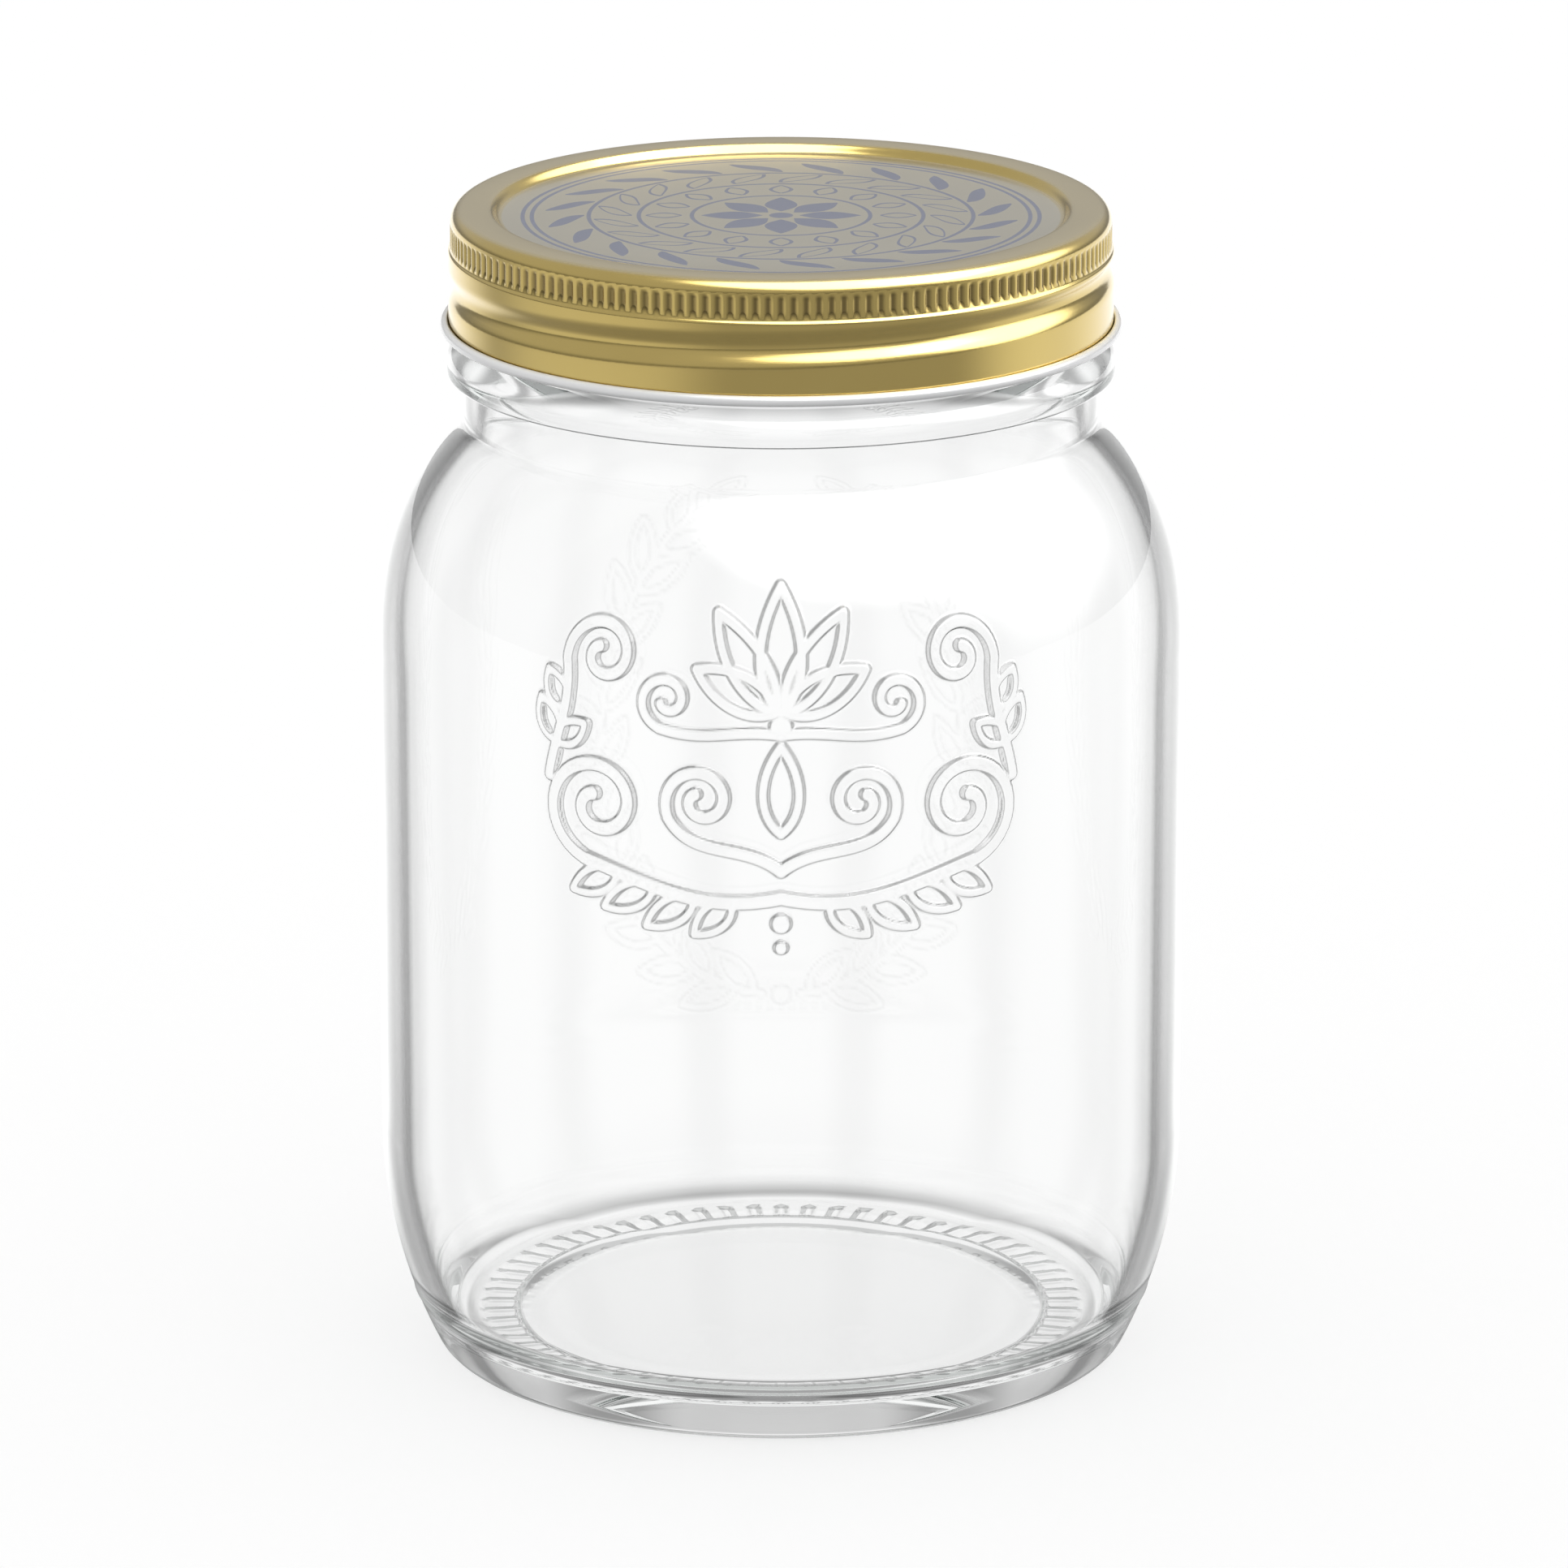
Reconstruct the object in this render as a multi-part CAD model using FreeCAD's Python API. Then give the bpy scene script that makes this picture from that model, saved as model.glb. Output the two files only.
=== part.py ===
import FreeCAD, Part
import math
import os

# A glass preserving jar with a one-piece screw cap, in millimetres.
# The origin is the centre of the base, on the plane that the jar stands on, and +Z is up.
# jar_glass is one solid of revolution with an outside thread and a grooved bearing ring.
# screw_cap is one sheet of tinplate: pressed panel, knurled band, rolled thread and curled rim.

Vector = FreeCAD.Vector

# Glass body
jar_height = 153.7  # base plane to the top of the glass lip
body_radius = 53.0
glass_wall = 2.8
floor_thickness = 5.3
floor_rise = 0.6  # how far the middle of the inside floor swells up
middle_share = 0.3  # flat middle of the floor and of the recess, as a share of its radius

# Heel, the large curve between the base and the straight side
heel_height = 30.0
heel_radius = 62.7
base_corner_radius = 3.0
floor_corner_radius = 7.0

# Underside: a flat bearing ring with radial grooves round a shallow recess
bearing_rim_width = 3.0
groove_count = 64
groove_length = 5.0
groove_depth = 0.5
groove_width = 1.8
recess_height = 0.9
recess_rise = 0.9
recess_slope = 0.5

# Shoulder and neck
neck_step = 0.6  # how much wider the neck is than the finish
shoulder_height = 30.1
shoulder_lean = 40.0  # steepest part of the shoulder, from upright
shoulder_lower_pull = 22.6  # how far the curve holds to the straight side
shoulder_upper_pull = 2.9  # how far it holds to the neck
neck_length = 5.65

# Bead, the flat-bottomed ring of glass under the cap
bead_step = 2.7  # how far the bead stands out from the finish
bead_height = 5.2
bead_edge_height = 1.6
bead_corner_radius = 0.5
bead_to_cap_gap = 0.45

# Finish, the threaded rim of the glass
finish_radius = 41.0
lip_corner_radius = 0.8
glass_thread_radius = 1.3  # section of the round thread ridge, centred on the finish

# Screw cap
sheet = 0.3
cap_skirt_drop = 15.75  # top of the lip to the lowest point of the cap
cap_thread_clearance = 0.75  # between the crest of the glass thread and the inside of the skirt
cap_shoulder_radius = 1.75
panel_depth = 1.25
panel_step_width = 2.1
panel_to_lip_clearance = 0.5
panel_step_shift = 0.12  # how much wider the step is underneath, so that it is as thick as the sheet
curl_radius = 0.7
curl_end_angle = 112.0
step_ease = 0.6  # how long a step in the sheet stays level at each end, as a share of the step

# Knurled band, the upper part of the cap's skirt
knurl_count = 168
knurl_height = 3.1
knurl_inset = 0.3  # how far the band stands back from the skirt
knurl_depth = 0.28
knurl_cutter_radius = 0.6
knurl_root = 0.25  # sheet left behind a flute
knurl_blend_height = 0.8

# Thread
thread_pitch = 6.0
thread_turns = 0.917
thread_start_angle = 60.0  # the low end, anticlockwise from +X
thread_low_drop = 11.9  # top of the lip to the low end of the rolled groove
rolled_groove_depth = 0.95
rolled_groove_radius = 1.5
thread_flank_clearance = 0.1
thread_run_out = 12.0

# Heights and radii that follow from the sizes above
cap_bottom_z = jar_height - cap_skirt_drop
bead_top_z = cap_bottom_z - bead_to_cap_gap
bead_bottom_z = bead_top_z - bead_height
neck_bottom_z = bead_bottom_z - neck_length
shoulder_bottom_z = neck_bottom_z - shoulder_height
neck_radius = finish_radius + neck_step
bead_radius = finish_radius + bead_step
bore_radius = neck_radius - glass_wall
lip_outer_radius = finish_radius
skirt_inner_radius = finish_radius + glass_thread_radius + cap_thread_clearance
skirt_outer_radius = skirt_inner_radius + sheet
cap_top_z = jar_height + sheet
cap_band_radius = skirt_outer_radius - knurl_inset
curl_centre_z = cap_bottom_z + curl_radius
rolled_groove_centre = skirt_outer_radius - rolled_groove_depth + rolled_groove_radius
thread_low_z = jar_height - thread_low_drop
heel_centre_radius = body_radius - heel_radius


def point(radius, height):
    """A point of a section, in the plane that is turned about the Z axis."""
    return Vector(radius, 0, height)


def line(start, end):
    return Part.LineSegment(start, end).toShape()


def arc(centre_radius, centre_height, radius, start_angle, end_angle):
    """An arc of a section about a centre, from one angle to another, in degrees."""
    corners = []
    for angle in (start_angle, (start_angle + end_angle) / 2, end_angle):
        turn = math.radians(angle)
        across = centre_radius + radius * math.cos(turn)
        corners.append(point(across, centre_height + radius * math.sin(turn)))
    return Part.Arc(*corners).toShape()


def bezier(*poles):
    curve = Part.BezierCurve()
    curve.setPoles(list(poles))
    return curve.toShape()


def start_of(edge):
    return edge.valueAt(edge.FirstParameter)


def end_of(edge):
    return edge.valueAt(edge.LastParameter)


def outline(edges):
    """The given edges in order, with a straight edge wherever two of them do not meet."""
    joined = []
    for index, edge in enumerate(edges):
        joined.append(edge)
        here = end_of(edge)
        following = start_of(edges[(index + 1) % len(edges)])
        if here.distanceToPoint(following) > 1e-6:
            joined.append(line(here, following))
    return Part.Wire(joined)


def turned(edges):
    """The solid that an outline makes when it is turned once about the Z axis."""
    face = Part.Face(outline(edges))
    solid = face.revolve(Vector(0, 0, 0), Vector(0, 0, 1), 360)
    return Part.makeSolid(solid) if solid.ShapeType != "Solid" else solid


def swell_poles(edge_radius, edge_height, rise):
    """A gentle swell from an edge up to a flat middle, as the poles of a Bezier curve."""
    middle_radius = middle_share * edge_radius
    half_way = (edge_radius + middle_radius) / 2
    return [
        point(middle_radius, edge_height + rise),
        point(half_way, edge_height + rise),
        point(half_way, edge_height),
        point(edge_radius, edge_height),
    ]


def tangent_corner(shell_radius, corner_radius, level):
    """Where a corner of a given radius joins a level to the heel curve.

    Gives the radius of the corner's centre, and the angle at which it meets the heel.
    """
    reach = shell_radius - corner_radius
    rise = heel_height - level - corner_radius
    across = math.sqrt(reach ** 2 - rise ** 2)
    return heel_centre_radius + across, -math.degrees(math.atan2(rise, across))


def shoulder_poles(side_radius, throat_radius, drop):
    """The S-curve from the straight side up to the neck, as the poles of a Bezier curve."""
    low = shoulder_bottom_z - drop
    high = neck_bottom_z - drop
    return [
        point(side_radius, low),
        point(side_radius, low + shoulder_lower_pull),
        point(throat_radius, high - shoulder_upper_pull),
        point(throat_radius, high),
    ]


def bead_edges():
    """The bead: a flat underside, a short upright edge and a slope up to the finish."""
    corner = bead_corner_radius
    edge_top_z = bead_bottom_z + bead_edge_height
    return [
        line(point(neck_radius, bead_bottom_z), point(bead_radius - corner, bead_bottom_z)),
        arc(bead_radius - corner, bead_bottom_z + corner, corner, -90, 0),
        bezier(
            point(bead_radius, edge_top_z),
            point(bead_radius, edge_top_z + (bead_top_z - edge_top_z) / 2),
            point(finish_radius, bead_top_z),
        ),
    ]


def lip_edges():
    """The rounded lip, over its top from outside to inside."""
    corner = lip_corner_radius
    level = jar_height - corner
    return [
        arc(lip_outer_radius - corner, level, corner, 0, 90),
        arc(bore_radius + corner, level, corner, 90, 180),
    ]


def glass_blank():
    """The jar without its thread and without the grooves under its base."""
    wall_shift = glass_wall * math.tan(math.radians(shoulder_lean / 2))  # keeps the wall even
    base_edge_radius, base_meet = tangent_corner(heel_radius, base_corner_radius, 0)
    inner_heel_radius = heel_radius - glass_wall
    floor_edge_radius, floor_meet = tangent_corner(inner_heel_radius, floor_corner_radius, floor_thickness)
    recess_radius = base_edge_radius - bearing_rim_width - groove_length
    recess_edge_radius = recess_radius - recess_slope
    recess_top_z = recess_height + recess_rise
    floor_top_z = floor_thickness + floor_rise
    outside = [
        line(point(0, recess_top_z), point(middle_share * recess_edge_radius, recess_top_z)),
        bezier(*swell_poles(recess_edge_radius, recess_height, recess_rise)),
        line(point(recess_radius, 0), point(base_edge_radius, 0)),
        arc(base_edge_radius, base_corner_radius, base_corner_radius, -90, base_meet),
        arc(heel_centre_radius, heel_height, heel_radius, base_meet, 0),
        bezier(*shoulder_poles(body_radius, neck_radius, 0)),
    ]
    inside = [
        bezier(*reversed(shoulder_poles(body_radius - glass_wall, bore_radius, wall_shift))),
        arc(heel_centre_radius, heel_height, inner_heel_radius, 0, floor_meet),
        arc(floor_edge_radius, floor_thickness + floor_corner_radius, floor_corner_radius, floor_meet, -90),
        bezier(*reversed(swell_poles(floor_edge_radius, floor_thickness, floor_rise))),
        line(point(middle_share * floor_edge_radius, floor_top_z), point(0, floor_top_z)),
    ]
    return turned(outside + bead_edges() + lip_edges() + inside)


def placed_on_thread(piece, low_z):
    """The piece, turned and raised from the start of a plain helix to the low end of the thread."""
    piece.rotate(Vector(0, 0, 0), Vector(0, 0, 1), thread_start_angle)
    piece.translate(Vector(0, 0, low_z))
    return piece


def thread_bar(centre_radius, bar_radius, low_z):
    """A round bar wound about the Z axis along the thread."""
    helix = Part.makeHelix(thread_pitch, thread_pitch * thread_turns, centre_radius)
    lead = math.atan2(thread_pitch, 2 * math.pi * centre_radius)
    forward = Vector(0, math.cos(lead), math.sin(lead))
    section = Part.Wire(Part.makeCircle(bar_radius, Vector(centre_radius, 0, 0), forward))
    return placed_on_thread(Part.Wire(helix).makePipeShell([section], True, True), low_z)


def groove_tools(bar_radius):
    """The wound bar that presses the rolled groove, with a straight run-out at each end.

    A run-out leaves the bar as a tangent, so that the groove grows shallower and fades out.
    """
    lead = math.atan2(thread_pitch, 2 * math.pi * rolled_groove_centre)
    forward = Vector(0, math.cos(lead), math.sin(lead))
    start = Vector(rolled_groove_centre, 0, 0)
    low_end = Part.makeCylinder(bar_radius, thread_run_out, start, forward * -1)
    high_end = Part.makeCylinder(bar_radius, thread_run_out, start, forward)
    high_end.rotate(Vector(0, 0, 0), Vector(0, 0, 1), 360 * thread_turns)
    high_end.translate(Vector(0, 0, thread_pitch * thread_turns))
    bar = thread_bar(rolled_groove_centre, bar_radius, thread_low_z)
    return (bar, placed_on_thread(low_end, thread_low_z), placed_on_thread(high_end, thread_low_z))


def bearing_grooves(outer_radius):
    """Round-bottomed grooves cut radially into the bearing ring, from its recess outwards."""
    half_width = groove_width / 2
    cutter_radius = (half_width ** 2 + groove_depth ** 2) / (2 * groove_depth)
    start = Vector(outer_radius - groove_length - recess_slope, 0, groove_depth - cutter_radius)
    length = groove_length + recess_slope
    grooves = []
    for index in range(groove_count):
        groove = Part.makeCylinder(cutter_radius, length, start, Vector(1, 0, 0))
        groove.rotate(Vector(0, 0, 0), Vector(0, 0, 1), 360 * index / groove_count)
        grooves.append(groove)
    return grooves


def jar_glass():
    blank = glass_blank()
    reach = rolled_groove_radius + sheet + glass_thread_radius + thread_flank_clearance
    offset = math.sqrt(reach ** 2 - (rolled_groove_centre - finish_radius) ** 2)
    ridge = thread_bar(finish_radius, glass_thread_radius, thread_low_z + offset)
    base_edge_radius = tangent_corner(heel_radius, base_corner_radius, 0)[0]
    grooves = bearing_grooves(base_edge_radius - bearing_rim_width)
    return blank.fuse(ridge).cut(tuple(grooves))


def cap_form(panel_z, step_shift, deck_z, shoulder_radius, band_radius, skirt_radius):
    """The solid inside one face of the cap's sheet, from the panel down to the start of the curl."""
    panel_radius = bore_radius - panel_to_lip_clearance - panel_step_width + step_shift
    deck_radius = panel_radius + panel_step_width
    band_edge_radius = cap_band_radius - cap_shoulder_radius
    band_bottom_z = cap_top_z - cap_shoulder_radius - knurl_height
    blend_bottom_z = band_bottom_z - knurl_blend_height
    edges = [
        line(point(0, panel_z), point(panel_radius, panel_z)),
        bezier(
            point(panel_radius, panel_z),
            point(panel_radius + step_ease * panel_step_width, panel_z),
            point(deck_radius - step_ease * panel_step_width, deck_z),
            point(deck_radius, deck_z),
        ),
        arc(band_edge_radius, deck_z - shoulder_radius, shoulder_radius, 90, 0),
        bezier(
            point(band_radius, band_bottom_z),
            point(band_radius, band_bottom_z - step_ease * knurl_blend_height),
            point(skirt_radius, blend_bottom_z + step_ease * knurl_blend_height),
            point(skirt_radius, blend_bottom_z),
        ),
        line(point(skirt_radius, curl_centre_z), point(0, curl_centre_z)),
    ]
    return turned(edges)


def curl():
    """The rim of the sheet, rolled outwards until it almost meets the skirt."""
    centre = skirt_inner_radius + curl_radius
    turn_end = 360 + curl_end_angle
    outer = arc(centre, curl_centre_z, curl_radius, 180, turn_end)
    inner = arc(centre, curl_centre_z, curl_radius - sheet, turn_end, 180)
    return turned([outer, inner])


def knurl_flutes():
    """Upright round-bottomed flutes, evenly spaced round the knurled band."""
    band_bottom_z = cap_top_z - cap_shoulder_radius - knurl_height
    start = Vector(cap_band_radius - knurl_depth + knurl_cutter_radius, 0, band_bottom_z)
    flutes = []
    for index in range(knurl_count):
        flute = Part.makeCylinder(knurl_cutter_radius, knurl_height, start)
        flute.rotate(Vector(0, 0, 0), Vector(0, 0, 1), 360 * index / knurl_count)
        flutes.append(flute)
    return flutes


def screw_cap():
    lined_band_radius = cap_band_radius - knurl_depth - knurl_root
    lined_shoulder_radius = lined_band_radius - cap_band_radius + cap_shoulder_radius
    panel_z = cap_top_z - panel_depth
    outer = cap_form(panel_z, 0, cap_top_z, cap_shoulder_radius, cap_band_radius, skirt_outer_radius)
    inner = cap_form(
        panel_z - sheet,
        panel_step_shift,
        jar_height,
        lined_shoulder_radius,
        lined_band_radius,
        skirt_inner_radius,
    )
    grooved_outer = outer.cut(groove_tools(rolled_groove_radius))
    grooved_inner = inner.cut(groove_tools(rolled_groove_radius + sheet))
    shell = grooved_outer.cut(grooved_inner)
    return shell.fuse(curl()).cut(tuple(knurl_flutes()))


def main():
    os.makedirs("parts", exist_ok=True)
    for name, build in (("jar_glass", jar_glass), ("screw_cap", screw_cap)):
        solid = build().Solids[0]
        solid.exportStep(f"parts/{name}.step")
        print(f"{name}: {solid.Volume / 1000:.2f} cm3, {len(solid.Faces)} faces, valid {solid.isValid()}")


main()
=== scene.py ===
# %% [markdown]
# # A glass preserving jar with a gold screw cap
#
# The real object has two pieces: a thick jar of pressed glass and a one-piece screw cap of tinplate.
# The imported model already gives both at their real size. This lesson adds what the eye expects: clear glass
# with a raised ornament, a thread and a grooved base, gold lacquer, a printed lid and a soft white studio.
# Everything is in metres, and the jar stands on z = 0 with its axis on the Z axis.

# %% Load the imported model
import math

import bmesh
import bpy
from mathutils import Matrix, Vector
from mathutils.kdtree import KDTree


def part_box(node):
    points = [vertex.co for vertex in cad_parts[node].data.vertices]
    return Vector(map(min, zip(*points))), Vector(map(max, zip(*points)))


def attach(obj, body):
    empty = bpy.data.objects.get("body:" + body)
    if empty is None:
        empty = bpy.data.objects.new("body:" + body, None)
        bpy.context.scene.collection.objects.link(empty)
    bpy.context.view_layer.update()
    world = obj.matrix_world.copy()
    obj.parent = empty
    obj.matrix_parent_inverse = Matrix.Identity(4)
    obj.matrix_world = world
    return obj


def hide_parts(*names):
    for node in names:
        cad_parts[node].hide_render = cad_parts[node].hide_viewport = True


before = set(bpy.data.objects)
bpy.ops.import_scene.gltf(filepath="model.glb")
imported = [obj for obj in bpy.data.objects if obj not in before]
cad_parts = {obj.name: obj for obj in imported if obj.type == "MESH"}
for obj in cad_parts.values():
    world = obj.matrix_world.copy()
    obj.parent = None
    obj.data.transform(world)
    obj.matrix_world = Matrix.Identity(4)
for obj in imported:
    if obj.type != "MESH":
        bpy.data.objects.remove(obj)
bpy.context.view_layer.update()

MM = 0.001
glass_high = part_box("jar_glass")[1]
cap_low, cap_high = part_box("screw_cap")
print("the glass is", round(glass_high.z / MM, 1), "mm tall")
print("the cap reaches", round(cap_high.z / MM, 1), "mm")

# %% [markdown]
# ## The section of the glass
#
# A pressed jar is a body of revolution, so its whole shape is one outline beside the axis.
# It could be drawn freely as a curve object, but arcs and Bezier curves from a few named sizes stay exact,
# and each stretch gets only as many points as its curvature needs.
# An outline point is a pair: distance from the axis and height, both in millimetres.

# %% Sizes of the glass in millimetres
seat_height = glass_high.z / MM  # where the cap seals on the lip
body_radius = glass_high.x / MM
wall = 2.8
floor_level = 5.3
floor_swell = 0.25

heel_height = 30.0
heel_radius = 62.7
heel_centre = body_radius - heel_radius
base_corner = 3.0
floor_corner = 7.0
rim_width = 3.0
groove_length = 5.0
recess_level = 0.9
recess_swell = 0.25

finish_radius = 41.0
neck_radius = 41.6
bead_radius = 43.7
bore_radius = neck_radius - wall
lip_corner = 0.8
fillet = 0.5
shoulder_bottom = seat_height - 57.15
neck_bottom = seat_height - 27.05
bead_bottom = seat_height - 21.4
bead_edge_top = bead_bottom + 1.6
bead_top = bead_bottom + 5.2
lip_top = seat_height - 0.05
print("the body is", round(2 * body_radius, 1), "mm across and the mouth", round(2 * bore_radius, 1), "mm")

# %% [markdown]
# Four small functions give every stretch of the outline. A Bezier curve of any degree comes from going
# the same share of the way between its poles again and again, until one point is left.

# %% Arcs and curves as lists of points
def towards(a, b, share):
    """The point that lies a share of the way from a to b."""
    return tuple(p + (q - p) * share for p, q in zip(a, b))


def bezier(poles, count):
    """Points of a Bezier curve with the given poles."""
    points = []
    for step in range(count + 1):
        row = poles
        while len(row) > 1:
            row = [towards(a, b, step / count) for a, b in zip(row, row[1:])]
        points.append(row[0])
    return points


def arc(centre, radius, start, end, count):
    """Points of an arc about a centre, from one angle to another in degrees."""
    points = []
    for step in range(count + 1):
        turn = math.radians(start + (end - start) * step / count)
        points.append((centre[0] + radius * math.cos(turn), centre[1] + radius * math.sin(turn)))
    return points


def corner_meeting(shell_radius, corner, level):
    """Where a corner on a level meets the heel: the radius of its centre, and the angle in degrees."""
    rise = heel_height - level - corner
    across = math.sqrt((shell_radius - corner) ** 2 - rise ** 2)
    return heel_centre + across, -math.degrees(math.atan2(rise, across))


base_edge, base_meeting = corner_meeting(heel_radius, base_corner, 0)
floor_edge, floor_meeting = corner_meeting(heel_radius - wall, floor_corner, floor_level)
print("the heel meets the base at", round(base_meeting, 1), "degrees")

# %% [markdown]
# The underside stands on a ring round a shallow recess. Both the recess and the floor inside swell up gently
# round a flat middle. The shoulder is one S-curve; inside, the same curve sits a little lower,
# which keeps the wall even where it leans.

# %% The two curved stretches
wall_shift = wall * math.tan(math.radians(20))


def swell(edge_radius, level, rise):
    """From the middle of a disc out to its edge, down from a flat middle."""
    top = level + rise
    middle = 0.3 * edge_radius
    half_way = (middle + edge_radius) / 2
    return [(0, top)] + bezier([(middle, top), (half_way, top), (half_way, level), (edge_radius, level)], 6)


def shoulder(side_radius, throat_radius, drop, count):
    """The S-curve from the straight side up to the neck."""
    low = shoulder_bottom - drop
    high = neck_bottom - drop
    rounded = [(side_radius, low), (side_radius, low + 22.6)]
    pulled_in = [(throat_radius, high - 2.9), (throat_radius, high)]
    return bezier(rounded + pulled_in, count)


print("the shoulder rises", round(neck_bottom - shoulder_bottom, 1), "mm")

# %% [markdown]
# A thin mould seam runs round the heel, where the bottom plate of the mould met its sides.
# It is one extra point in the outline that stands out by an eighth of a millimetre.

# %% Underside, heel and side
groove_outer = base_edge - rim_width
recess_radius = groove_outer - groove_length
recess_edge = recess_radius - 0.6
underside = swell(recess_edge, recess_level, recess_swell)
underside += bezier([(recess_edge, recess_level), (recess_edge + 0.45, recess_level), (recess_radius, 0)], 3)
underside += bezier([(recess_radius, 0), (groove_outer, 0)], 6)
underside += bezier([(groove_outer, 0), (base_edge, 0)], 3)

seam_height = 8.0
seam_rise = 0.13
seam_turn = -math.degrees(math.asin((heel_height - seam_height) / heel_radius))
heel_pivot = (heel_centre, heel_height)
heel = arc((base_edge, base_corner), base_corner, -90, base_meeting, 6)
heel += arc(heel_pivot, heel_radius, base_meeting, seam_turn - 0.3, 4)
heel += arc(heel_pivot, heel_radius + seam_rise, seam_turn, seam_turn, 1)
heel += arc(heel_pivot, heel_radius, seam_turn + 0.3, 0, 11)
side = bezier([(body_radius, heel_height), (body_radius, shoulder_bottom)], 19)
side += shoulder(body_radius, neck_radius, 0, 20)
print(len(underside) + len(heel) + len(side), "points from the middle of the base to the neck")

# %% Bead, finish, lip and inside
lip_level = lip_top - lip_corner
bead_middle = (bead_edge_top + bead_top) / 2
bead_slope = [(bead_radius, bead_edge_top), (bead_radius, bead_middle), (finish_radius, bead_top)]
bead = arc((neck_radius + fillet, bead_bottom - fillet), fillet, 180, 90, 4)
bead += arc((bead_radius - fillet, bead_bottom + fillet), fillet, -90, 0, 4)
bead += bezier(bead_slope, 8)
finish = bezier([(finish_radius, bead_top + 0.6), (finish_radius, lip_level)], 22)
lip = arc((finish_radius - lip_corner, lip_level), lip_corner, 0, 90, 4)
lip += arc((bore_radius + lip_corner, lip_level), lip_corner, 90, 180, 4)

inside = shoulder(body_radius - wall, bore_radius, wall_shift, 18)[::-1]
inside += bezier([(body_radius - wall, shoulder_bottom - wall_shift), (body_radius - wall, heel_height)], 3)
inside += arc(heel_pivot, heel_radius - wall, 0, floor_meeting, 12)
inside += arc((floor_edge, floor_level + floor_corner), floor_corner, floor_meeting, -90, 7)
inside += swell(floor_edge, floor_level, floor_swell)[::-1]

print("the outline has", len(underside + heel + side + bead + finish + lip + inside), "points")

# %% [markdown]
# ## From the outline to a solid
#
# Spinning the outline about the Z axis gives the closed body. Points on the axis meet in one,
# so the doubles are merged, and then all the normals are turned outwards.
# The two sides of the outline get different values of a vertex attribute,
# so that a material can tell them apart.

# %% Spin the outline
def spun(first_side, second_side, side_name, steps):
    """A solid turned from an outline. A vertex attribute is 0 on its first side and 1 on its second."""
    bm = bmesh.new()
    layer = bm.verts.layers.float.new(side_name)
    corners = []
    for points, value in ((first_side, 0), (second_side, 1)):
        for radius, height in points:
            corner = Vector((radius * MM, 0, height * MM))
            if not corners or (corners[-1].co - corner).length > 1e-7:
                corners.append(bm.verts.new(corner))
                corners[-1][layer] = value
    section = [bm.edges.new(pair) for pair in zip(corners, corners[1:])]
    bmesh.ops.spin(
        bm,
        geom=corners + section,
        cent=(0, 0, 0),
        axis=(0, 0, 1),
        angle=2 * math.pi,
        steps=steps,
        use_merge=True,
    )
    bmesh.ops.remove_doubles(bm, verts=bm.verts, dist=1e-7)
    bmesh.ops.recalc_face_normals(bm, faces=bm.faces)
    return bm


glass = spun(underside + heel + side + bead + finish + lip, inside, "inner", 192)
print("the turned body has", len(glass.faces), "faces")

# %% [markdown]
# ## Grooves under the base
#
# Short radial grooves keep the hot glass off the conveyor and stop a wet jar from sliding.
# The ring is divided more finely round its girth, and each point rises by the depth of a round groove there.

# %% Press the grooves
groove_count = 64
groove_depth = 0.3
groove_half_width = 1.3


def ring_edges(bm, inner, outer):
    """The edges round the girth that lie on the bearing ring."""
    found = []
    for edge in bm.edges:
        a, b = (Vector(vert.co.xy).length / MM for vert in edge.verts)
        on_ring = inner < a < outer and abs(a - b) < 0.01
        if on_ring and max(abs(vert.co.z) for vert in edge.verts) < 0.01 * MM:
            found.append(edge)
    return found


ring = ring_edges(glass, recess_radius - 0.1, groove_outer + 0.1)
bmesh.ops.subdivide_edges(glass, edges=ring, cuts=3, use_grid_fill=True)
pitch = 2 * math.pi / groove_count
for vert in glass.verts:
    distance = Vector(vert.co.xy).length / MM
    if abs(vert.co.z) < 0.01 * MM and recess_radius - 0.1 < distance < groove_outer - 0.1:
        turn = math.atan2(vert.co.y, vert.co.x)
        aside = distance * math.sin(turn - pitch * round(turn / pitch))
        share = min(1, abs(aside) / groove_half_width)
        vert.co.z += groove_depth * MM * math.cos(share * math.pi / 2) ** 2
print(groove_count, "grooves pressed; the glass has", len(glass.faces), "faces")

# %% [markdown]
# ## The thread
#
# A single round ridge climbs almost once round the finish, under the cap. Each point of the finish
# is pushed out to the ridge's round section, and the section dies away at both ends.

# %% Raise the thread
thread_pitch = 6.0
thread_start = 60.0
thread_travel = 330.0
thread_low = seat_height - 10.55
ridge_radius = 1.3
ridge_fade = 6.0  # degrees over which the ridge rises at its ends


def ridge_lift(turn, height):
    """How far the thread stands out at an angle in degrees and a height."""
    lift = 0
    for travel in (turn - thread_start, turn - thread_start + 360):
        fade = min(1, max(0, travel / ridge_fade), max(0, (thread_travel - travel) / ridge_fade))
        aside = height - thread_low - thread_pitch * travel / 360
        if abs(aside) < ridge_radius:
            lift = max(lift, fade * math.sqrt(ridge_radius ** 2 - aside ** 2))
    return lift


def set_radius(vert, radius):
    """Moves a vertex straight out or in, to a distance in millimetres from the axis."""
    factor = radius * MM / Vector(vert.co.xy).length
    vert.co.x *= factor
    vert.co.y *= factor


for vert in glass.verts:
    height = vert.co.z / MM
    if bead_top < height < lip_level and Vector(vert.co.xy).length / MM > finish_radius - 0.1:
        turn = math.degrees(math.atan2(vert.co.y, vert.co.x))
        set_radius(vert, finish_radius + ridge_lift(turn, height))
print("the thread climbs", round(thread_pitch * thread_travel / 360, 1), "mm")

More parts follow.
